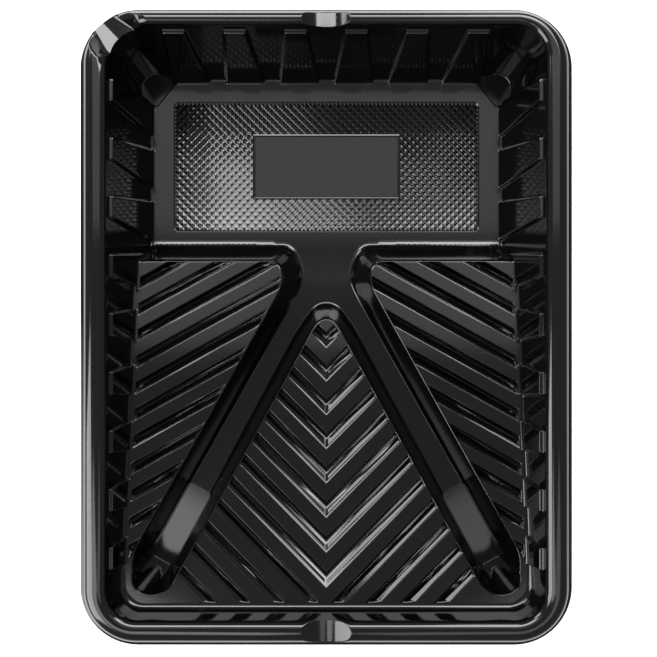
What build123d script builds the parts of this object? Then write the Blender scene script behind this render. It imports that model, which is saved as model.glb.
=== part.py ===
"""Paint roller tray: one vacuum-formed plastic sheet with a paint well, a grooved ramp, a Y-shaped
drain channel that stands on two feet, and a rolled rim with a pouring spout.

The sheet is divided along its own creases into named zones. Each zone is a closed solid of the
sheet's thickness, and neighbouring zones meet face to face.

Millimetres, +Z up. The origin is on the ground under the middle of the rim, the well is at +Y and
the shallow end of the ramp is at -Y. Pieces on the left (-X) are built, and the right ones mirrored.
"""

from build123d import *
import os
from math import atan, cos, degrees, radians, sin, tan

# Driving dimensions -----------------------------------------------------------------------------
tray_width = 305.0  # over the rim, along X
tray_length = 394.0  # over the rim, along Y
tray_height = 70.0  # feet to the crown of the rim
sheet = 1.2  # thickness of the formed sheet

# Rim: a flat flange outside, a rolled bead, and the mouth of the tub inside
corner_radius = 36.0  # outer corners of the flange
flange_width = 2.8
flange_level = 61.5  # underside of the flange
bead_outer_fillet = 5.0
bead_inner_fillet = 3.2
mouth_level = 66.5  # where the bead meets the walls
mouth_half_width = 135.5
mouth_back = 185.5
mouth_front = -180.5
mouth_radius = 19.0

# Walls lean outwards; the front wall is nearly upright
draft = 0.194  # outward lean of the side and back walls, as a slope
front_draft = 0.05

# Ribs: shallow columns on the walls, wider at the foot, with a flat cap below the mouth
rib_proud = 2.2
rib_cap_level = 62.0
rib_cap_width = 14.2
rib_foot_width = 29.0
side_rib_pitch = 36.4
side_rib_middle = 1.8  # Y of the middle one of the nine side ribs
back_rib_pitch = 37.9

# Floor of the well, with its grip panel, blank plaque and the two rear feet
floor_top = 2.6
well_front = 54.0  # foot of the riser
grip_size = (213.4, 90.4)
grip_middle = 112.4
grip_drop = 0.5  # the grip panel lies this far below the floor around it
grip_corner = 4.0
plaque_size = (102.0, 44.4)
rear_foot_radius = 11.0
rear_foot_place = (118.0, 166.0)
rear_foot_draft = 0.06  # the pocket over it is steeper than the walls, and runs out into the corner
rear_foot_reach = 48.0

# Ramp: rises from the riser's top edge to the front wall
ramp_back = 44.7
ramp_back_level = 27.0
ramp_slope = 5.4  # degrees
groove_width = 7.1
groove_depth = 3.6
groove_valley = 0.38  # the valley's place across the groove, as a share of the width from the upper side
chevron_pitch = 22.0  # along Y
chevron_first = -3.1  # upper edge of the first chevron at the middle of the tray
chevron_count = 12
side_groove_angle = 29.25  # degrees up from X towards the middle
side_groove_pitch = 17.18  # along Y
side_groove_first = 34.4  # upper edge of the first side groove, at the foot of the side wall
side_groove_count = 11
groove_margin = 3.0  # land left between a groove's end and the drain channel

# Drain channel: the left leg's outline on its floor and on the ramp, both from the outer corner at
# the well round the far end to the inner corner at the well, then the neck's two outlines
leg_floor = (
    (-4.5, 54.0),
    (-83.8, -96.0),
    (-121.0, -153.0),
    (-123.5, -160.0),
    (-110.5, -169.0),
    (-105.0, -163.0),
    (-72.4, -96.0),
    (18.4, 54.0),
)
leg_edge = (
    (-14.6, 54.0),
    (-97.1, -96.0),
    (-126.7, -149.8),
    (-126.6, -163.0),
    (-112.0, -173.6),
    (-98.4, -163.3),
    (-61.6, -96.0),
    (20.5, 54.0),
)
neck_floor = ((-17.0, 56.0), (-13.5, 28.0), (13.5, 28.0), (17.0, 56.0))
neck_edge = ((-31.0, 56.0), (-22.5, 28.0), (22.5, 28.0), (31.0, 56.0))
leg_lean = 28.8  # degrees between a leg's edges and Y
channel_slope = 1.8  # degrees, the channel's floor rises this much towards the front
channel_flare = 0.36  # outward lean of the channel's walls, as a slope
channel_split = -20.0  # the legs begin here, along Y
leg_middle = ((-55.5, -52.5), (-108.9, -149.8))  # two points on the left leg's middle line
front_foot = ((-93.8, -108.3), (-79.9, -114.1), (-105.0, -167.0), (-121.0, -156.0))
front_foot_corner = 3.0
front_foot_height = 10.0

# Spout across the back left corner, and a shallow saddle in the middle of the back and front rims
spout_floor_level = 61.0
spout_floor_width = 16.5
spout_mouth_width = 29.0
saddle_width = 30.0
saddle_drop = 5.0

# Worked out from the above ----------------------------------------------------------------------
wall_gap = sheet * (1 + draft**2) ** 0.5  # the sheet's thickness measured level, through a wall
base_half_width = mouth_half_width - mouth_level * draft
base_back = mouth_back - mouth_level * draft
base_front = mouth_front + mouth_level * front_draft
base_radius = mouth_radius - mouth_level * draft
wall_lean = degrees(atan(draft))
corner_x = mouth_half_width - mouth_radius
back_corner_y = mouth_back - mouth_radius
front_corner_y = mouth_front + mouth_radius
wall_split = 56.0  # the side walls change from well to ramp here, between two ribs
side_wall_end = back_corner_y - 10  # where the back corners' own pieces begin, along Y
back_wall_end = corner_x - 8  # and along X
ramp_rise = tan(radians(ramp_slope))
far = 400.0  # longer than anything cut with it
left = (-far, 0)  # ranges of X or Y that pick one side of the tray
front = (-far, 0)
back = (0, far)
rim_levels = (50, 80)  # heights that hold the whole rim
wall_levels = (0, 80)  # and the walls with it
wall_clearance = 0.2  # the channel's sheet stops this far inside the walls


def ramp_level(y):
    """Height of the ramp's top surface."""
    return ramp_back_level + (ramp_back - y) * ramp_rise


def tub_outline(level, gap):
    """(half width, back, front, corner radius) of the tub's inside at a level, grown by gap."""
    share = level / mouth_level
    half = base_half_width + share * (mouth_half_width - base_half_width)
    back = base_back + share * (mouth_back - base_back)
    front = base_front + share * (mouth_front - base_front)
    radius = base_radius + share * (mouth_radius - base_radius)
    return half + gap, back + gap, front - gap, radius + gap


def tub_block(gap):
    """The tub's inside, grown by gap, as one solid from the ground to the mouth."""
    with BuildPart() as block:
        for level in (0.0, mouth_level):
            half, back, front, radius = tub_outline(level, gap)
            with BuildSketch(Plane.XY.offset(level)):
                with Locations((0, (back + front) / 2)):
                    RectangleRounded(2 * half, back - front, radius)
        loft(ruled=True)
    return block.part


def side_profile(points, width):
    """A solid with this profile in Y and Z, centred on X = 0."""
    with BuildPart() as block:
        with BuildSketch(Plane.YZ):
            Polygon(*points, align=None)
        extrude(amount=width / 2, both=True)
    return block.part


def plan_block(points, low, high):
    """A straight-sided solid with this outline in X and Y."""
    with BuildPart() as block:
        with BuildSketch(Plane.XY.offset(low)):
            Polygon(*points, align=None)
        extrude(amount=high - low)
    return block.part


def box_between(x, y, z):
    """A box between pairs of X, Y and Z."""
    return plan_block([(x[0], y[0]), (x[1], y[0]), (x[1], y[1]), (x[0], y[1])], z[0], z[1])


tub_space = tub_block(0)
wall_shell = tub_block(wall_gap) - tub_space

# The room under the riser and the ramp, which the walls stay out of
under_ramp = side_profile(
    [
        (well_front - sheet, -10),
        (well_front - sheet, floor_top - sheet),
        (ramp_back - sheet, ramp_level(ramp_back) - sheet),
        (-far, ramp_level(-far) - sheet),
        (-far, -10),
    ],
    far,
)

# Rim --------------------------------------------------------------------------------------------
bead_width = tray_width - 2 * flange_width
bead_length = tray_length - 2 * flange_width
mouth_length = mouth_back - mouth_front
mouth_middle = (mouth_back + mouth_front) / 2


def bead_block(inset, top):
    """The bead as a solid ring from the flange's underside to top, drawn in by inset all round."""
    with BuildPart() as ring:
        with BuildSketch(Plane.XY.offset(flange_level)):
            RectangleRounded(
                bead_width - 2 * inset, bead_length - 2 * inset, corner_radius - flange_width - inset
            )
            with Locations((0, mouth_middle)):
                RectangleRounded(
                    2 * (mouth_half_width + inset),
                    mouth_length + 2 * inset,
                    mouth_radius + inset,
                    mode=Mode.SUBTRACT,
                )
        extrude(amount=top - flange_level)
        crown = ring.faces().sort_by(Axis.Z)[-1]
        fillet(crown.outer_wire().edges(), bead_outer_fillet - inset)
        crown = ring.faces().sort_by(Axis.Z)[-1]
        fillet(crown.inner_wires()[0].edges(), bead_inner_fillet - inset)
    return ring.part


with BuildPart() as flange:
    with BuildSketch(Plane.XY.offset(flange_level)):
        RectangleRounded(tray_width, tray_length, corner_radius)
        RectangleRounded(bead_width, bead_length, corner_radius - flange_width, mode=Mode.SUBTRACT)
    extrude(amount=sheet)

bead_solid = bead_block(0, tray_height)
with BuildPart() as inner_leg:  # the walls take over from the bead's inner leg below the mouth
    with BuildSketch(Plane.XY.offset(flange_level)):
        with Locations((0, mouth_middle)):
            RectangleRounded(
                2 * (mouth_half_width + wall_gap), mouth_length + 2 * wall_gap, mouth_radius + wall_gap
            )
    extrude(amount=mouth_level - flange_level)
rim_ring = (bead_solid - bead_block(sheet, tray_height - sheet) - inner_leg.part) + flange.part

with BuildPart() as rim_skirt:  # the room below the flange that the spout's floor dips into
    with BuildSketch(Plane.XY.offset(flange_level - 5)):
        RectangleRounded(tray_width, tray_length, corner_radius)
    extrude(amount=5 + sheet)
rim_room = bead_solid + rim_skirt.part

# The saddles are round valleys along Y, and the spout is a flat-bottomed one along the diagonal
saddle_radius = ((saddle_width / 2) ** 2 + saddle_drop**2) / (2 * saddle_drop)
saddle_axis = Plane(origin=(0, 0, tray_height - saddle_drop + saddle_radius), z_dir=(0, 1, 0))
spout_axis = Plane(origin=(-corner_x, back_corner_y, 0), x_dir=(1, 1, 0), z_dir=(1, -1, 0))


def saddle_cutter(grow):
    """The round valley across both saddles, grown by the sheet's thickness or not."""
    with BuildPart() as cutter:
        with BuildSketch(saddle_axis):
            Circle(saddle_radius + grow)
        extrude(amount=far / 2, both=True)
    return cutter.part


def spout_cutter(grow):
    """The spout's flat-bottomed valley, from the mouth of the tub out past the corner."""
    floor = spout_floor_level - grow
    rise = tray_height + 5 - spout_floor_level
    flare = (spout_mouth_width - spout_floor_width) / 2 / (tray_height - spout_floor_level)
    low = spout_floor_width / 2 + grow / 2
    high = spout_floor_width / 2 + rise * flare + grow
    with BuildPart() as cutter:
        with BuildSketch(spout_axis):
            Polygon((-low, floor), (low, floor), (high, floor + rise), (-high, floor + rise), align=None)
        extrude(amount=-60)
    return cutter.part


saddle_zone = box_between((-saddle_width / 2 - 2, saddle_width / 2 + 2), (-far, far), rim_levels)
corner_zone = box_between((-far, -corner_x), (back_corner_y, far), wall_levels)
saddle_cut = saddle_cutter(sheet) & saddle_zone
spout_cut = spout_cutter(sheet) & corner_zone
saddle_sheet = ((saddle_cut - saddle_cutter(0)) & rim_room) - tub_space
spout_sheet = ((spout_cut - spout_cutter(0)) & rim_room) - tub_space
cut_rim = rim_ring - saddle_cut - spout_cut

# Ribs and rear feet on the walls ----------------------------------------------------------------
side_rib_places = [side_rib_middle + side_rib_pitch * k for k in range(-4, 5)]
back_rib_places = [back_rib_pitch * (k - 2.5) for k in range(6)]
side_plane = Plane(
    origin=(-base_half_width, 0, 0),
    x_dir=(0, 1, 0),
    z_dir=(cos(radians(wall_lean)), 0, sin(radians(wall_lean))),
)
back_plane = Plane(
    origin=(0, base_back, 0),
    x_dir=(1, 0, 0),
    z_dir=(0, -cos(radians(wall_lean)), sin(radians(wall_lean))),
)


def rib_blocks(plane, places, inset, low, high):
    """Columns on a wall's plane, drawn in by inset, between two heights above that plane."""
    top = rib_cap_level / cos(radians(wall_lean)) - inset
    foot = rib_foot_width / 2 - inset
    cap = rib_cap_width / 2 - inset
    with BuildPart() as blocks:
        with BuildSketch(plane.offset(low)):
            for place in places:
                corners = [(place - foot, -5), (place + foot, -5), (place + cap, top), (place - cap, top)]
                Polygon(*corners, align=None)
        extrude(amount=high - low)
    return blocks.part


side_ribs = rib_blocks(side_plane, side_rib_places, 0, -sheet / 2, rib_proud)
side_hollows = rib_blocks(side_plane, side_rib_places, sheet, -2 * sheet, rib_proud - sheet)
back_ribs = rib_blocks(back_plane, back_rib_places, 0, -sheet / 2, rib_proud)
back_hollows = rib_blocks(back_plane, back_rib_places, sheet, -2 * sheet, rib_proud - sheet)
all_ribs = side_ribs + mirror(side_ribs, Plane.YZ) + back_ribs
floor_cut = box_between((-far, far), (-far, far), (-20, floor_top - sheet))

foot_x, foot_y = rear_foot_place


def rear_foot_cone(gap, low):
    """The round pocket over a rear foot, grown by gap."""
    radius = rear_foot_radius + gap
    with BuildPart() as cone:
        with Locations((-foot_x, foot_y, low)):
            Cone(
                radius,
                radius + rear_foot_reach * rear_foot_draft,
                rear_foot_reach,
                align=(Align.CENTER, Align.CENTER, Align.MIN),
            )
    return cone.part


foot_pocket = rear_foot_cone(0, sheet)
foot_jacket = rear_foot_cone(wall_gap, 0)
foot_jackets = foot_jacket + mirror(foot_jacket, Plane.YZ)
foot_cup = foot_jacket & box_between((-far, 0), (0, far), (0, floor_top))

written = []


def write(part, name):
    """Labels one zone and writes its STEP file. A zone is one solid, or mirrored to the right."""
    part.label = name
    export_step(part, f"parts/{name}.step")
    written.append((name, len(part.solids()), round(part.volume)))


def largest(builder):
    """A zone's main solid, without the slivers that a grazing cut leaves."""
    return builder.part.solids().sort_by(SortBy.VOLUME)[-1]


def write_pair(part, name):
    """Writes a left zone and its mirror image on the right."""
    write(part, f"{name}_left")
    write(mirror(part, Plane.YZ), f"{name}_right")


os.makedirs("parts", exist_ok=True)

# Rim zones
with BuildPart() as rim_back:
    add(cut_rim)
    add(box_between((-corner_x, corner_x), back, rim_levels), mode=Mode.INTERSECT)
write(rim_back.part, "rim_back")

with BuildPart() as rim_front:
    add(cut_rim)
    add(box_between((-corner_x, corner_x), front, rim_levels), mode=Mode.INTERSECT)
write(rim_front.part, "rim_front")

with BuildPart() as rim_side:
    add(cut_rim)
    add(box_between(left, (front_corner_y, back_corner_y), rim_levels), mode=Mode.INTERSECT)
write_pair(rim_side.part, "rim")

with BuildPart() as rim_front_corner:
    add(cut_rim)
    add(box_between((-far, -corner_x), (-far, front_corner_y), rim_levels), mode=Mode.INTERSECT)
write_pair(rim_front_corner.part, "rim_front_corner")

with BuildPart() as rim_back_corner_right:
    add(cut_rim)
    add(box_between((corner_x, far), (back_corner_y, far), rim_levels), mode=Mode.INTERSECT)
write(rim_back_corner_right.part, "rim_back_corner_right")

diagonal = [(-corner_x, back_corner_y), (-corner_x - 60, back_corner_y + 60)]
with BuildPart() as spout_shoulder_left:
    add(cut_rim)
    add(plan_block([*diagonal, (-corner_x - 60, back_corner_y)], *rim_levels), mode=Mode.INTERSECT)
write(largest(spout_shoulder_left), "spout_shoulder_left")

with BuildPart() as spout_shoulder_back:
    add(cut_rim)
    add(plan_block([*diagonal, (-corner_x, back_corner_y + 60)], *rim_levels), mode=Mode.INTERSECT)
write(largest(spout_shoulder_back), "spout_shoulder_back")

with BuildPart() as pouring_spout:
    add(spout_sheet)
write(pouring_spout.part, "pouring_spout")

with BuildPart() as back_saddle:
    add(saddle_sheet)
    add(box_between((-far, far), back, rim_levels), mode=Mode.INTERSECT)
write(back_saddle.part, "rim_saddle_back")

with BuildPart() as front_saddle:
    add(saddle_sheet)
    add(box_between((-far, far), front, rim_levels), mode=Mode.INTERSECT)
write(front_saddle.part, "rim_saddle_front")

# Walls of the well
rib_room = side_ribs & tub_block(wall_gap)
with BuildPart() as wall_back:
    add(wall_shell)
    add(box_between((-back_wall_end, back_wall_end), back, wall_levels), mode=Mode.INTERSECT)
    add(back_ribs & tub_block(wall_gap))
    add(back_hollows, mode=Mode.SUBTRACT)
    add(floor_cut, mode=Mode.SUBTRACT)
    add(saddle_cut, mode=Mode.SUBTRACT)
    add(foot_jackets, mode=Mode.SUBTRACT)
write(wall_back.part, "well_wall_back")

with BuildPart() as wall_side:
    add(wall_shell)
    add(box_between(left, (wall_split, side_wall_end), wall_levels), mode=Mode.INTERSECT)
    add(rib_room & box_between(left, (wall_split, side_wall_end), wall_levels))
    add(side_hollows, mode=Mode.SUBTRACT)
    add(floor_cut, mode=Mode.SUBTRACT)
    add(foot_jackets, mode=Mode.SUBTRACT)
write_pair(wall_side.part, "well_wall")

with BuildPart() as wall_back_corner:
    add(wall_shell)
    add(box_between((-far, -back_wall_end), (side_wall_end, far), wall_levels), mode=Mode.INTERSECT)
    add(foot_jacket)
    add(tub_space, mode=Mode.SUBTRACT)
    add(foot_pocket, mode=Mode.SUBTRACT)
    add(floor_cut, mode=Mode.SUBTRACT)
    add(foot_cup, mode=Mode.SUBTRACT)
write(mirror(wall_back_corner.part, Plane.YZ), "well_corner_right")
write(wall_back_corner.part - spout_cut, "well_corner_left")

# Walls beside the ramp
with BuildPart() as ramp_wall:
    add(wall_shell)
    add(box_between(left, (front_corner_y, wall_split), wall_levels), mode=Mode.INTERSECT)
    add(rib_room & box_between(left, (front_corner_y, wall_split), wall_levels))
    add(side_hollows, mode=Mode.SUBTRACT)
    add(under_ramp, mode=Mode.SUBTRACT)
    add(floor_cut, mode=Mode.SUBTRACT)
write_pair(ramp_wall.part, "ramp_wall")

with BuildPart() as ramp_corner:
    add(wall_shell)
    add(box_between((-far, -corner_x), (-far, front_corner_y), wall_levels), mode=Mode.INTERSECT)
    add(under_ramp, mode=Mode.SUBTRACT)
write_pair(ramp_corner.part, "ramp_corner")

with BuildPart() as front_wall:
    add(wall_shell)
    add(box_between((-corner_x, corner_x), front, wall_levels), mode=Mode.INTERSECT)
    add(under_ramp, mode=Mode.SUBTRACT)
    add(saddle_cut, mode=Mode.SUBTRACT)
write(front_wall.part, "front_wall")

# Floor of the well
with BuildPart() as rear_foot:
    add(foot_cup)
    add(foot_pocket, mode=Mode.SUBTRACT)
write_pair(rear_foot.part, "rear_foot")

with BuildPart() as well_floor:
    add(tub_space)
    add(
        box_between((-far, far), (well_front, far), (floor_top - sheet, floor_top)), mode=Mode.INTERSECT
    )
    add(foot_jackets, mode=Mode.SUBTRACT)
    add(all_ribs, mode=Mode.SUBTRACT)
    with BuildSketch(Plane.XY.offset(floor_top)):
        with Locations((0, grip_middle)):
            RectangleRounded(*grip_size, grip_corner)
    extrude(amount=-2 * sheet, mode=Mode.SUBTRACT)
write(well_floor.part, "well_floor")

with BuildPart() as grip_panel:
    with BuildSketch(Plane.XY.offset(floor_top - grip_drop)):
        with Locations((0, grip_middle)):
            RectangleRounded(*grip_size, grip_corner)
            Rectangle(*plaque_size, mode=Mode.SUBTRACT)
    extrude(amount=-sheet)
write(grip_panel.part, "grip_panel")

with BuildPart() as plaque:
    with BuildSketch(Plane.XY.offset(floor_top - grip_drop)):
        with Locations((0, grip_middle)):
            Rectangle(*plaque_size)
    extrude(amount=-sheet)
write(plaque.part, "blank_plaque")

# Riser and ramp ---------------------------------------------------------------------------------
ramp_plane = Plane(
    origin=(0, ramp_back, ramp_back_level),
    x_dir=(1, 0, 0),
    z_dir=(0, sin(radians(ramp_slope)), cos(radians(ramp_slope))),
)
channel_plane = Plane(
    origin=(0, ramp_back, floor_top),
    x_dir=(1, 0, 0),
    z_dir=(0, sin(radians(channel_slope)), cos(radians(channel_slope))),
)


def channel_loft(floor, edge, grow):
    """A trough between an outline on the channel's floor and its edge on the ramp, grown by grow."""
    above = 3.0
    with BuildPart() as trough:
        with BuildSketch(channel_plane.offset(-grow)):
            with Locations((0, -ramp_back)):
                Polygon(*floor, align=None)
            if grow:
                offset(amount=grow, kind=Kind.INTERSECTION)
        with BuildSketch(ramp_plane.offset(above)):
            with Locations((0, -ramp_back)):
                Polygon(*edge, align=None)
            offset(amount=above * channel_flare + grow, kind=Kind.INTERSECTION)
        loft(ruled=True)
    return trough.part


def channel_block(grow):
    """The whole Y of the drain channel as one solid: two legs and the neck that joins them."""
    leg = channel_loft(leg_floor, leg_edge, grow)
    return leg + mirror(leg, Plane.YZ) + channel_loft(neck_floor, neck_edge, grow)


channel_air = channel_block(0)
channel_jacket = channel_block(sheet)

sheet_top = side_profile(
    [
        (well_front, -10),
        (well_front, floor_top),
        (ramp_back, ramp_back_level),
        (-far, ramp_level(-far)),
        (-far, -10),
    ],
    far,
)
channel_sheet = ((channel_jacket & sheet_top) - channel_air) & tub_block(-wall_clearance)


def foot_block(grow, low, high):
    """A front foot's outline, grown by grow, between two levels."""
    with BuildPart() as block:
        with BuildSketch(Plane.XY.offset(low)):
            Polygon(*front_foot, align=None)
            offset(amount=grow - front_foot_corner, kind=Kind.INTERSECTION)
            offset(amount=front_foot_corner, kind=Kind.ARC)
        extrude(amount=high - low)
    return block.part


foot_well = foot_block(0, sheet, 2 * front_foot_height)
foot_skin = foot_block(sheet, 0, front_foot_height)

with BuildPart() as riser:
    add(
        side_profile(
            [
                (well_front, floor_top - sheet),
                (well_front, floor_top),
                (ramp_back, ramp_back_level),
                (ramp_back - sheet, ramp_level(ramp_back) - sheet),
                (well_front - sheet, floor_top - sheet),
            ],
            far,
        )
    )
    add(tub_space, mode=Mode.INTERSECT)
    add(box_between((-far, 0), (0, far), (0, far)), mode=Mode.INTERSECT)
    add(channel_jacket, mode=Mode.SUBTRACT)
    add(side_ribs, mode=Mode.SUBTRACT)
write_pair(riser.part, "riser")
riser_pair = riser.part + mirror(riser.part, Plane.YZ)

with BuildPart() as neck:
    add(channel_sheet)
    add(box_between((-far, far), (channel_split, far), (-5, far)), mode=Mode.INTERSECT)
write(neck.part, "channel_neck")

with BuildPart() as leg:
    add(channel_sheet)
    add(box_between((-far, 0), (-far, channel_split), (-5, far)), mode=Mode.INTERSECT)
    add(foot_skin, mode=Mode.SUBTRACT)
    add(foot_well, mode=Mode.SUBTRACT)
write_pair(leg.part, "channel_leg")

with BuildPart() as front_foot_cup:
    add((foot_skin - channel_air) - foot_well)
write_pair(front_foot_cup.part, "front_foot")


def groove_prism(start, angle, profile):
    """A long prism with this profile across a groove, laid flat, from start along angle in plan."""
    along = (-cos(radians(angle)), -sin(radians(angle)), 0)
    across = (sin(radians(angle)), -cos(radians(angle)), 0)
    with BuildPart() as prism:
        with BuildSketch(Plane(origin=(*start, 0), x_dir=across, z_dir=along)):
            Polygon(*profile, align=None)
        extrude(amount=far, both=True)
    return prism.part


valley = (groove_width * groove_valley, -groove_depth)
groove_cut = [(0, 1), (0, 0), valley, (groove_width, 0), (groove_width, 1)]
groove_skin = [
    (-sheet, -sheet / 2),
    (valley[0], valley[1] - 1.3 * sheet),
    (groove_width + sheet, -sheet / 2),
]


def grooved(slab, region, starts, angle):
    """A flat sheet with V grooves pressed into it, each inside region(margin)."""
    panel = slab
    for start in starts:
        panel += groove_prism(start, angle, groove_skin) & region(groove_margin)
    for start in starts:
        panel -= groove_prism(start, angle, groove_cut) & region(groove_margin + sheet)
    return panel


def flat_block(points, low, high):
    """An outline in plan, seen from the ramp's own plane."""
    flat = [(x, (y - ramp_back) / cos(radians(ramp_slope))) for x, y in points]
    return plan_block(flat, low, high)


def centre_region(margin):
    """Where the right half's chevrons may run: the middle land, margin short of its edges."""
    shift = margin / cos(radians(leg_lean))
    nose = leg_edge[6][1] - leg_edge[6][0] / tan(radians(leg_lean))
    reach = -leg_edge[5][0] - shift
    points = [
        (0, nose - margin / sin(radians(leg_lean))),
        (reach, leg_edge[5][1]),
        (reach, mouth_front - 5),
        (0, mouth_front - 5),
    ]
    return flat_block(points, -10, 5)


def side_region(margin):
    """Where the left panel's grooves may run: out through the side wall, margin short of the leg."""
    shift = margin / cos(radians(leg_lean))
    points = [
        (-150, ramp_back - margin),
        (leg_edge[0][0] - 10 - shift, ramp_back - margin),
        (leg_edge[1][0] - shift, leg_edge[1][1]),
        (leg_edge[2][0] - shift, leg_edge[2][1]),
        (-150, leg_edge[2][1]),
    ]
    return flat_block(points, -10, 5)


chevron_starts = [(0, chevron_first - chevron_pitch * k - ramp_back) for k in range(chevron_count)]
side_starts = [
    (-base_half_width, side_groove_first - side_groove_pitch * k - ramp_back)
    for k in range(side_groove_count)
]
half_slab = flat_block(
    [
        (0, ramp_back),
        (0, mouth_front - 5),
        (mouth_half_width, mouth_front - 5),
        (mouth_half_width, ramp_back),
    ],
    -sheet,
    0,
)


def side_outline(back_edge):
    """The left panel's part of the ramp in plan, as far as the middle of the channel's leg."""
    front_edge = leg_edge[2][1]
    outside = -mouth_half_width
    return [
        (0, back_edge),
        (leg_edge[0][0], ramp_back),
        leg_middle[0],
        leg_middle[1],
        (outside, front_edge),
        (outside, back_edge),
    ]


side_slab = flat_block(side_outline(ramp_back), -sheet, 0)

half_centre = ramp_plane.location * grooved(half_slab, centre_region, chevron_starts, 45)
side_panel = ramp_plane.location * grooved(side_slab, side_region, side_starts, side_groove_angle)
side_room = ramp_plane.location * flat_block(side_outline(ramp_back + 20), -20, 20)

with BuildPart() as ramp_side:
    add(side_panel)
    add(tub_space, mode=Mode.INTERSECT)
    add(riser_pair, mode=Mode.SUBTRACT)
    add(channel_jacket, mode=Mode.SUBTRACT)
    add(side_ribs, mode=Mode.SUBTRACT)
write_pair(ramp_side.part, "ramp_side")

with BuildPart() as ramp_half:
    add(half_centre)
    add(tub_space, mode=Mode.INTERSECT)
    add(channel_jacket, mode=Mode.SUBTRACT)
    add(mirror(side_room, Plane.YZ), mode=Mode.SUBTRACT)
    add(all_ribs, mode=Mode.SUBTRACT)
write(ramp_half.part + mirror(ramp_half.part, Plane.YZ), "ramp_centre")

for name, solids, volume in written:
    print(name, solids, volume)
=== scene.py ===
"""Looks of the paint roller tray: a glossy black vacuum-formed moulding, seen from straight above.

The moulding's upper surface is worked out in millimetres, zone by zone, and each zone becomes a
closed mesh of the sheet's thickness that stands for its CAD node. The rim and the walls are one
ring of stations round the tub and rows from the flange's edge down to the floor. Everything
inside the foot of the walls is a height over X and Y, triangulated along its own creases.
"""

import math

import bpy
import numpy as np
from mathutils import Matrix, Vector
from mathutils.geometry import delaunay_2d_cdt


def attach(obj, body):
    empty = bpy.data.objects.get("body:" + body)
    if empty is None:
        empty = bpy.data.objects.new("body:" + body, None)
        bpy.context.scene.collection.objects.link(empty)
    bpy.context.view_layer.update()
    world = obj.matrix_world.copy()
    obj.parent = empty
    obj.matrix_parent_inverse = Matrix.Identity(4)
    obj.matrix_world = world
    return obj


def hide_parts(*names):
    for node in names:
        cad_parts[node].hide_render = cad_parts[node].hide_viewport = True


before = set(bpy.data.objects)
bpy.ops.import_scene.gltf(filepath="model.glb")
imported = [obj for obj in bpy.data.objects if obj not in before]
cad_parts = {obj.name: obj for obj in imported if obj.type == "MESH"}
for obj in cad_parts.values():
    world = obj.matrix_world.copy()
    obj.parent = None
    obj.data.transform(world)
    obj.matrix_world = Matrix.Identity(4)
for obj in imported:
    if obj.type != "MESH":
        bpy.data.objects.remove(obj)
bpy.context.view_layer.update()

MM = 0.001
SHEET = 1.2  # thickness of the formed sheet

# Outlines round the tub: half width, back, front, corner radius
BASE = np.array([122.6, 172.6, -177.2, 6.1])  # at the ground
MOUTH = np.array([135.5, 185.5, -180.5, 19.0])
MOUTH_LEVEL = 66.5
FLANGE_EDGE = np.array([152.5, 197.0, -197.0, 36.0])
BEAD_FOOT = np.array([149.7, 194.2, -194.2, 33.2])
FLANGE_TOP = 62.7
CROWN = 70.0
WALL_TOP = 65.0  # where the bead hands over to the wall
DRAFT = 0.194
CORNER_X = 116.5
BACK_CORNER_Y = 166.5

# Cuts across the rim
SPOUT_RUN = (17, 44)  # along the spout, outwards from the corner's middle
SPOUT_HALF, SPOUT_SLOPES = (10.0, 4.6), (1.15, 0.9)  # its flat's half width and its sides' slope there
SPOUT_LEVEL = 61.0
SADDLE_RADIUS, SADDLE_DEPTH = 25.0, 5.0
NO_CUT = 200.0  # a level over everything

# Ribs
RIB_PROUD = 2.2
RIB_CAP = 62.0
RIB_FOOT_HALF = 14.5
RIB_CAP_HALF = 7.1
SIDE_RIBS = 1.8 + 36.4 * np.arange(-4, 5)
BACK_RIBS = 37.9 * (np.arange(6) - 2.5)
FAR = 1e6

# Well and ramp
FLOOR = 2.6
WELL_FRONT = 54.0
RAMP_BACK = 44.7
RAMP_BACK_LEVEL = 27.0
RAMP_RISE = math.tan(math.radians(5.4))
RISER_RISE = (RAMP_BACK_LEVEL - FLOOR) / (WELL_FRONT - RAMP_BACK)
GRIP = (106.7, 67.2, 157.6, 4.0)  # half width, front, back, corner radius
PLAQUE = (51.0, 90.2, 134.6)
KNURL_STEP = 2.79  # from a pyramid's tip to the valley beside it, along X
KNURL_VALLEY, KNURL_TIP = 1.85, 2.5
FOOT_LEVEL = 1.2
REAR_FOOT = (118.0, 166.3, 11.8)
REAR_FOOT_SIDE = (105.8, 170.0, 0.78, 0.625)  # a point of its straight side, and the way inwards

# Grooves
GROOVE_WIDTH = 7.1
GROOVE_DEPTH = 3.2
GROOVE_UPPER, GROOVE_LOWER, GROOVE_END = 1.6, 0.74, 2.6  # slopes of its sides and of its ends
GROOVE_SIDE_END = 4.0  # the side grooves end this far inside the plain wall
CHEVRON_FIRST, CHEVRON_PITCH, CHEVRON_COUNT = -3.1, 22.0, 12
SIDE_FIRST, SIDE_PITCH, SIDE_COUNT = 34.4, 17.18, 11
SIDE_SLOPE = math.tan(math.radians(29.25))
SIDE_COS = math.cos(math.radians(29.25))
GROOVE_MARGIN = 1.0
GROOVE_FRONT = -176.0  # the chevrons end here, short of the front wall

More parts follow.
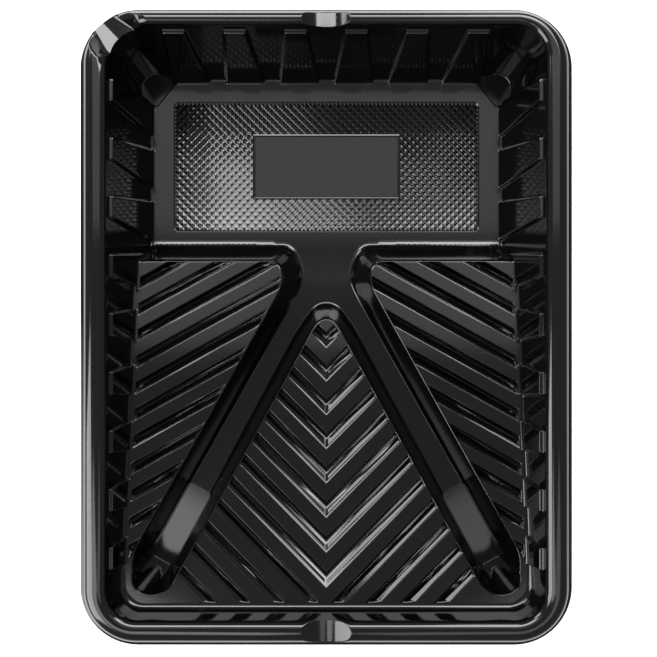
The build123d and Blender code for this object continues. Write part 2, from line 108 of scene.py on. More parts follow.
# Drain channel: the right leg is a stadium along a middle line, and the neck widens to the well
LEG_TOP = np.array([0.0, 48.1])
LEG_END = np.array([112.1, -155.6])
LEG_HALF = 15.6
LEG_LEAN = 0.5487  # how far a leg goes outwards for its run to the front
LEG_JOIN, NECK_JOIN = 18.0, 9.0  # rounding where the legs and the neck meet
NECK_HALF, NECK_SPREAD = 25.6, 0.56  # half width at the front of the riser, and how fast it widens
RISER_FRONT, NECK_FRONT = 33.0, 14.0
CHANNEL_BACK = 70.0  # the channel's outline closes here, on the well's floor
CHANNEL_FLARE = 0.33  # run of its walls for their height, at the neck
FLARE_LOSS = 0.13  # and how much less towards the front feet
NOSE_HALF, NOSE_GAIN = 15.0, 0.7  # the wall round the ramp's nose is steeper
CHANNEL_SIDE = 124.4  # the legs' ends stop short of the side walls
CHANNEL_RISE = math.tan(math.radians(1.8))
LEG_FILLET, RISER_FILLET, RISER_CORNER = 7.0, 13.0, 16.0  # roundings, as heights
PAD_MIDDLE, PAD_HALF, PAD_CORNER = (168.9, 22.7), (29.4, 8.5), 3.0  # along and across the leg
PAD_WALL = 18.0  # slope of the wall round a front foot
LEG_DIRECTION = np.array([0.482, -0.876])
LEG_ACROSS = np.array([0.876, 0.482])


def smooth_max(a, b, k):
    """The larger of two, rounded where they are within k of each other."""
    return np.maximum(a, b) + np.maximum(k - np.abs(a - b), 0) ** 2 / (4 * k)


def smooth_min(a, b, k):
    """The smaller of two, rounded likewise."""
    return -smooth_max(-a, -b, k)


def ramp_level(y):
    """Height of the ramp's lands."""
    return RAMP_BACK_LEVEL + (RAMP_BACK - y) * RAMP_RISE


def leg_inside(x, y):
    """Distance inside the right leg's edge on the ramp."""
    along = LEG_END - LEG_TOP
    share = ((x - LEG_TOP[0]) * along[0] + (y - LEG_TOP[1]) * along[1]) / (along @ along)
    share = np.clip(share, -1, 1)
    return LEG_HALF - np.hypot(x - LEG_TOP[0] - share * along[0], y - LEG_TOP[1] - share * along[1])


def channel_inside(x, y):
    """Distance inside the whole channel's edge: both legs and the neck, joined smoothly."""
    legs = smooth_max(leg_inside(np.abs(x), y), leg_inside(-np.abs(x), y), LEG_JOIN)
    legs = smooth_min(legs, CHANNEL_SIDE - np.abs(x), 3.0)
    neck_half = NECK_HALF + (y - RISER_FRONT) * NECK_SPREAD
    neck = np.minimum((neck_half - np.abs(x)) * 0.67, (y - NECK_FRONT) * 0.8)
    return smooth_max(np.minimum(legs, CHANNEL_BACK - y), neck, NECK_JOIN)


def pad_outside(x, y):
    """Distance outside the right front foot's outline."""
    u = x * LEG_DIRECTION[0] + y * LEG_DIRECTION[1]
    v = x * LEG_ACROSS[0] + y * LEG_ACROSS[1]
    du = np.abs(u - PAD_MIDDLE[0]) - PAD_HALF[0] + PAD_CORNER
    dv = np.abs(v - PAD_MIDDLE[1]) - PAD_HALF[1] + PAD_CORNER
    outside = np.hypot(np.maximum(du, 0), np.maximum(dv, 0)) + np.minimum(np.maximum(du, dv), 0)
    return outside - PAD_CORNER


def pocket_inside(ax, y):
    """Distance inside a rear foot's pocket, a disc cut short on the floor's side."""
    disc = REAR_FOOT[2] - np.hypot(ax - REAR_FOOT[0], y - REAR_FOOT[1])
    x0, y0, inwards_x, inwards_y = REAR_FOOT_SIDE
    return np.minimum(disc, (ax - x0) * inwards_x + (y - y0) * inwards_y)


def rounded_box_inside(ax, y, half, front, back, corner):
    dx = ax - half + corner
    dy = np.abs(y - (front + back) / 2) - (back - front) / 2 + corner
    outside = np.hypot(np.maximum(dx, 0), np.maximum(dy, 0)) + np.minimum(np.maximum(dx, dy), 0)
    return corner - outside


def groove_depth_at(a, end):
    """Depth of a groove, a from its upper edge across and end from its closed end."""
    depth = smooth_min(a * GROOVE_UPPER, (GROOVE_WIDTH - a) * GROOVE_LOWER, 0.3)
    depth = smooth_min(depth, end * GROOVE_END, 0.9)
    depth = smooth_min(depth, GROOVE_DEPTH + 0 * depth, 0.5)
    return smooth_max(depth, 0 * depth, 0.55)


def in_centre(ax, y):
    """Whether a point of the ramp lies between the channel's legs."""
    return ax < LEG_LEAN * (54 - y) - 2.95


def side_room(ax, y):
    """Distance inside the line by the side wall where the side grooves end."""
    return BASE[0] + DRAFT * ramp_level(y) - GROOVE_SIDE_END - ax


def grooves(ax, y, inside):
    """Depth of the chevrons and of the side panels' grooves."""
    c = CHEVRON_FIRST - (y - ax)
    k = np.clip(np.round((c - 5) / CHEVRON_PITCH), 0, CHEVRON_COUNT - 1)
    a = (c - k * CHEVRON_PITCH) / math.sqrt(2)
    centre = groove_depth_at(a, np.minimum(-inside - GROOVE_MARGIN, y - GROOVE_FRONT))
    s = SIDE_FIRST - (y - SIDE_SLOPE * (BASE[0] - ax))
    k = np.clip(np.round((s - 4) / SIDE_PITCH), 0, SIDE_COUNT - 1)
    a = (s - k * SIDE_PITCH) * SIDE_COS
    room = np.minimum(-inside, RAMP_BACK - y) - GROOVE_MARGIN
    side = groove_depth_at(a, np.minimum(room, side_room(ax, y)))
    return np.where(in_centre(ax, y), centre, side)


def surface(x, y):
    """Height of the moulding's upper surface inside the foot of the walls."""
    ax = np.abs(x)
    inside = channel_inside(x, y)
    ramp = ramp_level(y)
    riser = FLOOR + (WELL_FRONT - y) * RISER_RISE
    flare = CHANNEL_FLARE - FLARE_LOSS * np.clip((40 - y) / 150, 0, 1)
    nose = np.exp(-((x / NOSE_HALF) ** 2)) * np.clip((y + 10) / 24, 0, 1)
    walls = smooth_min(riser, ramp - inside / flare * (1 + NOSE_GAIN * nose), RISER_CORNER)
    bottom = FLOOR + smooth_max(RAMP_BACK - y, 0 * y, 10.0) * CHANNEL_RISE
    low = smooth_max(bottom, walls, LEG_FILLET + (RISER_FILLET - LEG_FILLET) * np.clip(y / 30, 0, 1))
    pad = smooth_max(FOOT_LEVEL + 0 * y, FOOT_LEVEL + pad_outside(ax, y) * PAD_WALL, 2.0)
    low = smooth_min(low, pad, 1.2)
    on_ramp = np.clip((RAMP_BACK - y) / 1.5, 0, 1)
    z = smooth_min(low, ramp - grooves(ax, y, inside) * on_ramp, 2.6)
    pocket = np.clip(pocket_inside(ax, y) * 3.0, 0, FLOOR - FOOT_LEVEL)
    step = np.clip(rounded_box_inside(ax, y, *GRIP) / 0.6, 0, 1) * (FLOOR - KNURL_VALLEY)
    return np.where(y > WELL_FRONT + 6, FLOOR - np.maximum(pocket, step), z)


def surface_normal(x, y):
    """Unit normal of that surface, from its height a little to each side."""
    d = 0.03
    gx = (surface(x + d, y) - surface(x - d, y)) / (2 * d)
    gy = (surface(x, y + d) - surface(x, y - d)) / (2 * d)
    n = np.stack([-gx, -gy, np.ones_like(gx)], -1)
    return n / np.linalg.norm(n, axis=-1, keepdims=True)


# Stations round the tub ---------------------------------------------------------------------------
def rib_knots(places, ends_foot, ends_cap):
    """Matching places on the ground and at the ribs' caps, which narrow upwards."""
    foot = [ends_foot[0]]
    cap = [ends_cap[0]]
    for place in places:
        foot += [place - RIB_FOOT_HALF, place + RIB_FOOT_HALF]
        cap += [place - RIB_CAP_HALF, place + RIB_CAP_HALF]
    return np.array(foot + [ends_foot[1]]), np.array(cap + [ends_cap[1]])


def front_corner_y(level):
    share = level / MOUTH_LEVEL
    return (BASE[2] + BASE[3]) * (1 - share) + (MOUTH[2] + MOUTH[3]) * share


def fill(values, spacing, low, high):
    """Sorted places that hold the given ones, with no gap over the spacing."""
    values = sorted({round(float(v), 3) for v in values if low < v < high} | {low, high})
    out = [values[0]]
    for a, b in zip(values, values[1:]):
        if b - a < 0.12 and b != high:
            continue
        count = max(1, math.ceil((b - a) / spacing))
        out += [a + (b - a) * (i + 1) / count for i in range(count)]
    return out


rib_edge = [-0.6, 0.0, 0.35, 0.8, 1.4]
side_marks = [
    place + sign * (RIB_FOOT_HALF - a) for place in SIDE_RIBS for sign in (-1, 1) for a in rib_edge
]
back_marks = [
    place + sign * (RIB_FOOT_HALF - a) for place in BACK_RIBS for sign in (-1, 1) for a in rib_edge
]
saddle_marks = list(np.arange(-17, 17.1, 0.7))
side_low = front_corner_y(0)
side_foot, side_cap = rib_knots(
    SIDE_RIBS, (side_low, BACK_CORNER_Y), (front_corner_y(RIB_CAP), BACK_CORNER_Y)
)
back_foot, back_cap = rib_knots(BACK_RIBS, (-CORNER_X, CORNER_X), (-CORNER_X, CORNER_X))

ramp_places = fill(side_marks, 1.0, side_low, 57.0)
side_places = ramp_places[:-1] + fill(side_marks, 2.2, 57.0, BACK_CORNER_Y)
back_places = fill(back_marks + saddle_marks, 2.2, -CORNER_X, CORNER_X)
front_places = fill(saddle_marks, 2.0, -CORNER_X, CORNER_X)


def corner_angles(start, count):
    """Angles inside a quarter turn, in radians."""
    return [math.radians(start + 90 * i / count) for i in range(1, count)]


# Anticlockwise from the back right corner: back, left, front and right, with the corners between
BACK, LEFT, FRONT, RIGHT, CORNER = range(5)
stations = []
stations += [(BACK, x) for x in reversed(back_places)]
stations += [(CORNER, a) for a in corner_angles(90, 56)]
stations += [(LEFT, y) for y in reversed(side_places)]
stations += [(CORNER, a) for a in corner_angles(180, 22)]
stations += [(FRONT, x) for x in front_places]
stations += [(CORNER, a) for a in corner_angles(270, 22)]
stations += [(RIGHT, y) for y in side_places]
stations += [(CORNER, a) for a in corner_angles(0, 22)]
kind = np.array([s[0] for s in stations])
place = np.array([s[1] for s in stations])
is_side = (kind == LEFT) | (kind == RIGHT)
is_corner = kind == CORNER
corner_x_sign = np.where(np.cos(place) > 0, 1.0, -1.0)
corner_y_sign = np.where(np.sin(place) > 0, 1.0, -1.0)
cap_place = place.copy()
cap_place[is_side] = np.interp(place[is_side], side_foot, side_cap)
cap_place[kind == BACK] = np.interp(place[kind == BACK], back_foot, back_cap)

outward = np.zeros((len(stations), 2))
outward[kind == BACK] = (0, 1)
outward[kind == FRONT] = (0, -1)
outward[kind == LEFT] = (-1, 0)
outward[kind == RIGHT] = (1, 0)
outward[is_corner] = np.stack([np.cos(place), np.sin(place)], -1)[is_corner]


def tub(level):
    """The tub's outline at a level per station."""
    share = np.asarray(level)[..., None] / MOUTH_LEVEL
    return BASE * (1 - share) + MOUTH * share


def outline_point(outline, slide):
    """Each station's point on an outline, where slide is its place along a straight side."""
    half, back, front, radius = (outline[..., i] for i in range(4))
    cx = half - radius
    x = np.where(kind == BACK, slide, 0.0) + np.where(kind == FRONT, slide, 0.0)
    x = x + np.where(kind == LEFT, -half, 0.0) + np.where(kind == RIGHT, half, 0.0)
    y = np.where(is_side, slide, 0.0)
    y = y + np.where(kind == BACK, back, 0.0) + np.where(kind == FRONT, front, 0.0)
    corner_y = np.where(corner_y_sign > 0, back - radius, front + radius)
    x = np.where(is_corner, corner_x_sign * cx + radius * np.cos(place), x)
    y = np.where(is_corner, corner_y + radius * np.sin(place), y)
    return x, y


def wall_point(level):
    """The plain wall at a level per station."""
    slide = place + (cap_place - place) * level / RIB_CAP
    return outline_point(tub(level), slide)


def rib_proud(level):
    """How far each station stands into the tub at a level."""
    side_ribs = np.where(is_side[:, None], SIDE_RIBS[None], FAR)
    back_ribs = np.where((kind == BACK)[:, None], BACK_RIBS[None], FAR)
    ribs = np.concatenate([side_ribs, back_ribs], axis=1)
    off = np.abs(place[:, None] - ribs).min(1)
    across = np.clip((RIB_FOOT_HALF - off) / 1.4, 0, 1)
    across = across * across * (3 - 2 * across)
    up = np.clip((RIB_CAP + 0.25 - level) / 0.4, 0, 1)
    return RIB_PROUD * across * up


def pocket_push(x, y, level):
    """How far the rear feet's pockets push the wall out at a level."""
    qx = x - np.sign(x) * REAR_FOOT[0]
    qy = y - REAR_FOOT[1]
    radius = REAR_FOOT[2] + 0.06 * level
    along = qx * outward[:, 0] + qy * outward[:, 1]
    inner = along**2 - qx**2 - qy**2 + radius**2
    push = np.where(inner > 0, np.sqrt(np.maximum(inner, 0)) - along, 0)
    return np.clip(np.where(y > 140, push, 0), 0, 9)


def formed_wall(level):
    """The wall with its ribs and pockets."""
    x, y = wall_point(level)
    shift = pocket_push(x, y, level) - rib_proud(level)
    return x + outward[:, 0] * shift, y + outward[:, 1] * shift


def spout_level(x, y):
    """The spout's valley across the back left corner; high elsewhere."""
    out = ((y - BACK_CORNER_Y) - (x + CORNER_X)) / math.sqrt(2)
    across = np.abs((x + CORNER_X) + (y - BACK_CORNER_Y)) / math.sqrt(2)
    half = np.interp(out, SPOUT_RUN, SPOUT_HALF)
    floor = SPOUT_LEVEL + 0.07 * across
    side = SPOUT_LEVEL + 0.3 + (across - half) * np.interp(out, SPOUT_RUN, SPOUT_SLOPES)
    valley = smooth_max(floor, side, 0.7)
    return np.where((out > 12) & (x < -CORNER_X + 16) & (y > BACK_CORNER_Y - 16), valley, NO_CUT)


def saddle_level(x, y):
    """The saddles' round valleys in the middle of the back and front rims; high elsewhere."""
    inside = np.clip(SADDLE_RADIUS**2 - x**2, 0, None)
    valley = CROWN - SADDLE_DEPTH + SADDLE_RADIUS - np.sqrt(inside)
    return np.where((np.abs(x) < 20) & (np.abs(y) > 170), valley, NO_CUT)


rim_fraction = np.where(
    is_side,
    (place + (cap_place - place) * MOUTH_LEVEL / RIB_CAP - (MOUTH[2] + MOUTH[3]))
    / (BACK_CORNER_Y - MOUTH[2] - MOUTH[3]),
    0,
)
wall_slide = place + (cap_place - place) * WALL_TOP / RIB_CAP
mouth_outline = BASE * (1 - WALL_TOP / MOUTH_LEVEL) + MOUTH * WALL_TOP / MOUTH_LEVEL


def rim_row(inner, outer, share, level):
    """A row of the rim, part of the way from an outer outline to an inner one."""
    outline = outer * (1 - share) + inner * share
    low, high = outline[2] + outline[3], outline[1] - outline[3]
    slide = np.where(is_side, low + (high - low) * rim_fraction, wall_slide)
    x, y = outline_point(np.broadcast_to(outline, (len(stations), 4)), slide)
    z = np.full(len(stations), level)
    return np.stack([x, y, z], -1)


rows = []
for share, level in ((0, 62.0), (0.1, 62.5), (0.3, FLANGE_TOP), (0.6, FLANGE_TOP), (0.85, FLANGE_TOP)):
    rows.append(rim_row(BEAD_FOOT, FLANGE_EDGE, share, level))
ARCH = 2.25  # the bead's section is a superellipse
for step in range(1, 28):
    angle = math.pi * step / 28
    c, s = math.cos(angle), math.sin(angle)
    share = 0.5 - 0.5 * math.copysign(abs(c) ** (2 / ARCH), c)
    low = FLANGE_TOP + 0.2 if c > 0 else WALL_TOP
    rows.append(rim_row(mouth_outline, BEAD_FOOT, share, low + (CROWN - low) * s ** (2 / ARCH)))
rim_row_count = len(rows)

wall_levels = [WALL_TOP, 64.2, 63.2, 62.6, 62.25, 62.12, 62.0, 61.85, 61.5]
for level in wall_levels:
    x, y = formed_wall(np.full(len(stations), level))
    rows.append(np.stack([x, y, np.full(len(stations), level)], -1))

# The foot of the wall: a fillet that ends on the surface inside
ring_plan_x, ring_plan_y = formed_wall(np.zeros(len(stations)))
front_share = np.clip((-place - 150) / 20, 0, 1) * is_side + (kind == FRONT) + (
    is_corner & (corner_y_sign < 0)
)
pocket_distance = np.hypot(np.abs(ring_plan_x) - REAR_FOOT[0], ring_plan_y - REAR_FOOT[1])
near_pocket = np.clip((14 - pocket_distance) / 3, 0, 1)
fillet = 1.7 + 2.3 * np.clip(front_share, 0, 1) - 1.1 * near_pocket
lean = math.atan(DRAFT)
reach = fillet * (1 - math.sin(lean)) / math.cos(lean)
foot_level = np.full(len(stations), 20.0)
for _ in range(8):
    x, y = formed_wall(foot_level)
    foot_x = x - outward[:, 0] * reach
    foot_y = y - outward[:, 1] * reach
    foot_level = surface(foot_x, foot_y)
tangent_level = foot_level + fillet * (1 - math.sin(lean))
top_level = wall_levels[-1]
for step in range(1, 14):
    level = top_level + (tangent_level - top_level) * step / 13
    x, y = formed_wall(level)
    rows.append(np.stack([x, y, level], -1))
base_x, base_y = formed_wall(foot_level)
for angle in (28, 46, 62, 77, 90):
    turn = math.radians(angle)
    inward = reach - fillet * math.cos(turn)
    level = foot_level + fillet * (1 - math.sin(turn))
    rows.append(
        np.stack([base_x - outward[:, 0] * inward, base_y - outward[:, 1] * inward, level], -1)
    )
ring = np.array(rows)
cut = np.minimum(spout_level(ring[..., 0], ring[..., 1]), saddle_level(ring[..., 0], ring[..., 1]))
ring[..., 2] = np.where(cut < NO_CUT, smooth_min(ring[..., 2], cut, 0.5), ring[..., 2])
ring[-1, :, 2] = foot_level

along_ring = np.roll(ring, -1, 1) - np.roll(ring, 1, 1)
down_ring = np.empty_like(ring)
down_ring[1:-1] = ring[2:] - ring[:-2]
down_ring[0] = ring[1] - ring[0]
down_ring[-1] = ring[-1] - ring[-2]
ring_normal = np.cross(along_ring, down_ring)
ring_normal /= np.linalg.norm(ring_normal, axis=-1, keepdims=True)
ring_normal[-1] = surface_normal(ring[-1, :, 0], ring[-1, :, 1])


# Pieces -------------------------------------------------------------------------------------------
def border_edges(faces):
    """Directed edges that only one face has."""
    start = faces.ravel()
    end = np.roll(faces, -1, axis=1).ravel()
    size = int(faces.max()) + 1
    lone = ~np.isin(start * size + end, end * size + start)
    return np.stack([start[lone], end[lone]], -1)


def new_mesh(name, points, under, faces):
    """A closed mesh: faces above, the same ones turned over below, and a strip round the border."""
    count = len(points)
    border = border_edges(faces)
    strip = np.stack([border[:, 1], border[:, 0], border[:, 0] + count, border[:, 1] + count], -1)
    all_faces = faces.tolist() + (faces[:, ::-1] + count).tolist() + strip.tolist()
    mesh = bpy.data.meshes.new(name)
    mesh.from_pydata((np.concatenate([points, under]) * MM).tolist(), [], all_faces)
    mesh.materials.append(black)
    return mesh, border


def place_piece(name, mesh, nodes):
    """Adds a piece that stands for CAD nodes."""
    piece = bpy.data.objects.new(name, mesh)
    bpy.context.collection.objects.link(piece)
    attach(piece, "root")
    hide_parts(*nodes)
    return piece


def closed_piece(name, nodes, points, normals, under, faces):
    """A closed piece between an upper surface and the one under it, smooth by its own normals."""
    faces = np.asarray(faces)
    used, index = np.unique(faces, return_inverse=True)
    faces = index.reshape(faces.shape)
    points, normals, under = points[used], normals[used], under[used]
    mesh, border = new_mesh(name, points, under, faces)
    mesh.polygons.foreach_set("use_smooth", [True] * len(mesh.polygons))
    side = np.cross(points[border[:, 1]] - points[border[:, 0]], [0, 0, 1.0])
    side /= np.maximum(np.linalg.norm(side, axis=1, keepdims=True), 1e-9)
    above = normals[faces].reshape(-1, 3)
    below = -normals[faces[:, ::-1]].reshape(-1, 3)
    mesh.normals_split_custom_set(np.concatenate([above, below, np.repeat(side, 4, axis=0)]).tolist())
    return place_piece(name, mesh, nodes)


def plastic():
    """Glossy black polystyrene with a faint orange peel and a little uneven gloss."""
    material = bpy.data.materials.new("black_plastic")
    material.use_nodes = True
    nodes, links = material.node_tree.nodes, material.node_tree.links
    shader = nodes["Principled BSDF"]
    shader.inputs["IOR"].default_value = 1.55
    place_at = nodes.new("ShaderNodeTexCoord")
    tint = nodes.new("ShaderNodeTexNoise")
    tint.inputs["Scale"].default_value = 30.0
    tint.inputs["Detail"].default_value = 3.0
    colour = nodes.new("ShaderNodeValToRGB")
    colour.color_ramp.elements[0].position = 0.3
    colour.color_ramp.elements[0].color = (0.0013, 0.0013, 0.0015, 1)
    colour.color_ramp.elements[1].position = 0.75
    colour.color_ramp.elements[1].color = (0.0022, 0.0022, 0.0025, 1)
    gloss = nodes.new("ShaderNodeTexNoise")
    gloss.inputs["Scale"].default_value = 55.0
    gloss.inputs["Detail"].default_value = 4.0
    gloss_range = nodes.new("ShaderNodeMapRange")
    gloss_range.inputs["To Min"].default_value = 0.085
    gloss_range.inputs["To Max"].default_value = 0.13
    peel = nodes.new("ShaderNodeTexNoise")
    peel.inputs["Scale"].default_value = 420.0
    peel.inputs["Detail"].default_value = 2.0
    bump = nodes.new("ShaderNodeBump")
    bump.inputs["Strength"].default_value = 0.05
    bump.inputs["Distance"].default_value = 0.0002
    for noise in (tint, gloss, peel):
        links.new(place_at.outputs["Object"], noise.inputs["Vector"])
    links.new(tint.outputs["Fac"], colour.inputs["Fac"])
    links.new(colour.outputs["Color"], shader.inputs["Base Color"])
    links.new(gloss.outputs["Fac"], gloss_range.inputs["Value"])
    links.new(gloss_range.outputs["Result"], shader.inputs["Roughness"])
    links.new(peel.outputs["Fac"], bump.inputs["Height"])
    links.new(bump.outputs["Normal"], shader.inputs["Normal"])
    return material


black = plastic()
column_count = len(stations)
ring_points = ring.reshape(-1, 3)
ring_normals = ring_normal.reshape(-1, 3)
ring_under = ring_points - ring_normals * SHEET
ring_under[:, 2] = np.maximum(ring_under[:, 2], 0)


def ring_faces(columns, row_low, row_high):
    """Quads of the ring over some columns, each with the next one, and a range of rows."""
    faces = []
    for column in columns:
        after = (column + 1) % column_count
        for row in range(row_low, row_high):
            a, b = row * column_count + column, row * column_count + after
            faces.append((a, b, b + column_count, a + column_count))
    return faces


def ring_zone(column, row_group):
    """The CAD node that a column of the rim or of the wall belongs to."""
    k, p = kind[column], place[column]
    side = "left" if (outward[column, 0] < 0) else "right"
    if row_group == "rim":
        if k == BACK:
            return "rim_saddle_back" if -16.5 < p <= 16.8 else "rim_back"
        if k == FRONT:
            return "rim_saddle_front" if -16.8 <= p < 16.5 else "rim_front"
        if k != CORNER:
            return "rim_" + side
        if corner_y_sign[column] < 0:
            return "rim_front_corner_" + side
        return "rim_back_corner_right" if side == "right" else "pouring_spout"
    if k == BACK:
        return "well_wall_back" if abs(p) < 109 else "well_corner_" + ("left" if p < 0 else "right")
    if k == FRONT:
        return "front_wall"
    if k == CORNER:
        return ("ramp_corner_" if corner_y_sign[column] < 0 else "well_corner_") + side
    if p > 156:
        return "well_corner_" + side
    return ("well_wall_" if p > 56 else "ramp_wall_") + side


for row_group, row_low, row_high in (
    ("rim", 0, rim_row_count),
    ("wall", rim_row_count, len(rows) - 1),
):
    zones = {}
    for column in range(column_count):
        zones.setdefault(ring_zone(column, row_group), []).append(column)
    for zone, columns in zones.items():
        nodes = [zone]
        if zone == "pouring_spout":
            nodes += ["spout_shoulder_left", "spout_shoulder_back"]
        faces = ring_faces(columns, row_low, row_high)
        closed_piece(zone + "_skin", nodes, ring_points, ring_normals, ring_under, faces)

# Inside the foot of the walls ---------------------------------------------------------------------
# The right half is triangulated and mirrored. Its rim is the ring's last row.
loop_order = []
start = next(i for i in range(column_count) if kind[i] == FRONT and ring[-1, i, 0] >= 0)
index = start
while ring[-1, index % column_count, 0] >= -1e-9:
    loop_order.append(index % column_count)
    index += 1
edge_loop = [(float(ring[-1, i, 0]), float(ring[-1, i, 1])) for i in loop_order]
edge_loop[0] = (0.0, edge_loop[0][1])
edge_loop[-1] = (0.0, edge_loop[-1][1])
loop_xy = np.array(edge_loop)


def inside_loop(x, y):
    """Whether points lie inside the right half of the foot line."""
    ax, ay = loop_xy[:, 0], loop_xy[:, 1]
    bx, by = np.roll(ax, -1), np.roll(ay, -1)
    result = np.zeros(len(x), bool)
    for x0, y0, x1, y1 in zip(ax, ay, bx, by):
        if y0 == y1:
            continue
        crosses = ((y0 > y) != (y1 > y)) & (x < (x1 - x0) * (y - y0) / (y1 - y0) + x0)
        result ^= crosses
    return result


RASTER = 0.4  # spacing of the yes or no map of the inside
LINE_REACH = 135.0  # the groove lines are sampled this far out
map_x, map_y = np.meshgrid(np.arange(0.0, 145, RASTER), np.arange(-190.0, 190, RASTER), indexing="ij")
inside_map = inside_loop(map_x.ravel(), map_y.ravel()).reshape(map_x.shape)


def well_inside(x, y, gap=0.7):
    """Whether points lie inside the foot line and clear of it by a gap."""
    keep = x > -1e-6
    for dx, dy in ((0, 0), (gap, 0), (0, gap), (0, -gap)):
        column = np.clip(np.round((x + dx) / RASTER).astype(int), 0, inside_map.shape[0] - 1)
        row = np.clip(np.round((y + dy + 190) / RASTER).astype(int), 0, inside_map.shape[1] - 1)
        keep = keep & inside_map[column, row]
    return keep


def along_level_line(field, level, spacing, region):
    """Points on a line where a field has a level, about a spacing apart."""
    gx, gy = np.meshgrid(np.arange(0.0, 140, spacing / 2), np.arange(-182.0, 182, spacing / 2))
    x, y = gx.ravel(), gy.ravel()
    near = np.abs(field(x, y) - level) < spacing * 0.6
    x, y = x[near], y[near]
    keep = region(x, y)
    x, y = x[keep], y[keep]
    d = 0.02
    for _ in range(4):
        value = field(x, y) - level
        fx = (field(x + d, y) - field(x - d, y)) / (2 * d)
        fy = (field(x, y + d) - field(x, y - d)) / (2 * d)
        size = np.maximum(fx**2 + fy**2, 0.05)
        x, y = x - value * fx / size, y - value * fy / size
    x = np.where(np.abs(x) < spacing * 0.35, 0, x)
    x, y = x[x >= 0], y[x >= 0]
    cells = np.stack([np.round(x / spacing), np.round(y / spacing)], -1)
    _, first = np.unique(cells, axis=0, return_index=True)
    return np.stack([x[first], y[first]], -1)


def clipped_line(start, end, region):
    """The stretches of a straight line that lie in a region, as pairs of end points."""
    t = np.linspace(0, 1, 1600)
    x = start[0] + t * (end[0] - start[0])
    y = start[1] + t * (end[1] - start[1])
    keep = region(x, y).astype(int)
    change = np.flatnonzero(np.diff(np.concatenate([[0], keep, [0]])))
    runs = []
    for low, high in zip(change[::2], change[1::2]):
        if high - low > 6:
            runs.append(((x[low], y[low]), (x[high - 1], y[high - 1])))
    return runs


plan_points = [np.array(edge_loop)]
plan_edges = [(i, i + 1) for i in range(len(edge_loop) - 1)] + [(len(edge_loop) - 1, 0)]
point_count = len(edge_loop)


def add_points(points):
    global point_count
    plan_points.append(np.asarray(points, float))
    point_count += len(points)


def add_line(points, closed=False):
    """Adds a line that the triangles have to follow."""
    first = point_count
    add_points(points)
    plan_edges.extend((first + i, first + i + 1) for i in range(len(points) - 1))
    if closed:
        plan_edges.append((point_count - 1, first))


def ramp_centre_region(x, y):
    return well_inside(x, y) & in_centre(x, y) & (channel_inside(x, y) < -0.9)


def ramp_side_region(x, y):
    out = channel_inside(x, y) < -0.9
    return well_inside(x, y) & ~in_centre(x, y) & out & (y < RAMP_BACK - 1.2)


groove_lines = (-0.35, 0.0, 0.35, 1.7, 2.0, 2.3, 2.75, 3.3, 6.35, 6.75, 7.1, 7.45, 7.85)
for k in range(CHEVRON_COUNT):
    for a in groove_lines:
        c = CHEVRON_FIRST - k * CHEVRON_PITCH - a * math.sqrt(2)
        for low, high in clipped_line((0, c), (LINE_REACH, c + LINE_REACH), ramp_centre_region):
            add_line([low, high])
for k in range(SIDE_COUNT):
    for a in groove_lines:
        c = SIDE_FIRST - k * SIDE_PITCH - a / SIDE_COS
        outer = (LINE_REACH, c + SIDE_SLOPE * (BASE[0] - LINE_REACH))
        inner = (0, c + SIDE_SLOPE * BASE[0])
        for low, high in clipped_line(outer, inner, ramp_side_region):
            add_line([low, high])


groove_end_lines = (-0.3, 0.0, 0.35, 0.8, 1.3)
for level in groove_end_lines:
    add_points(along_level_line(side_room, level, 0.9, ramp_side_region))
    front_x = np.arange(0.9, 112, 0.9)
    front_y = np.full(len(front_x), GROOVE_FRONT + level)
    front_keep = well_inside(front_x, front_y) & (channel_inside(front_x, front_y) < -0.9)
    add_points(np.stack([front_x, front_y], -1)[front_keep])


def ramp_region(x, y):
    return well_inside(x, y) & (y < WELL_FRONT + 4)


channel_lines = (-4.6, -3.4, -2.8, -2.3, -1.8, -1.3, -0.9, -0.5, -0.2, 0.1, 0.5, 1.1, 1.9, 3.0, 4.3)
channel_lines += (5.2, 5.8, 6.3, 6.8, 7.3, 7.8, 8.3, 8.8, 9.4, 10.1, 11.0, 12.0, 13.4)
for level in channel_lines:
    add_points(along_level_line(channel_inside, level, 1.0, ramp_region))


leg_turn = math.atan2(LEG_DIRECTION[1], LEG_DIRECTION[0])
leg_end_lines = (-0.9, -0.4, 0.0, 0.4, 0.9, 1.8, 3.4, 5.0, 5.8, 6.4, 7.0, 7.6, 8.2, 8.8, 9.6)
for level in leg_end_lines:
    end_angle = leg_turn + np.linspace(-math.pi / 2, math.pi / 2, 33)
    end_x = LEG_END[0] + (LEG_HALF - level) * np.cos(end_angle)
    end_y = LEG_END[1] + (LEG_HALF - level) * np.sin(end_angle)
    end_kept = well_inside(end_x, end_y)
    add_points(np.stack([end_x, end_y], -1)[end_kept])


def pad_outline(grow):
    """Points round the right front foot's outline, grown by a little."""
    corner = PAD_CORNER + grow
    points = []
    for turn in range(4):
        u_sign = 1 if turn in (0, 3) else -1
        v_sign = 1 if turn in (0, 1) else -1
        for i in range(8):
            angle = math.radians(90 * turn + 90 * i / 7)
            u = PAD_MIDDLE[0] + u_sign * (PAD_HALF[0] - PAD_CORNER) + corner * math.cos(angle)
            v = PAD_MIDDLE[1] + v_sign * (PAD_HALF[1] - PAD_CORNER) + corner * math.sin(angle)
            points.append(u * LEG_DIRECTION + v * LEG_ACROSS)
    dense = []
    for a, b in zip(points, points[1:] + points[:1]):
        count = max(1, math.ceil(np.hypot(*(b - a)) / 1.4))
        dense += [a + (b - a) * i / count for i in range(count)]
    return np.array(dense)


for grow in (-1.4, -0.6, -0.2, 0.05, 0.25, 0.45, 0.65, 0.95, 1.5):
    outline = pad_outline(grow)
    add_line(outline[well_inside(outline[:, 0], outline[:, 1])], closed=True)


def pocket_region(x, y):
    return well_inside(x, y, 0.4) & (y > 140)


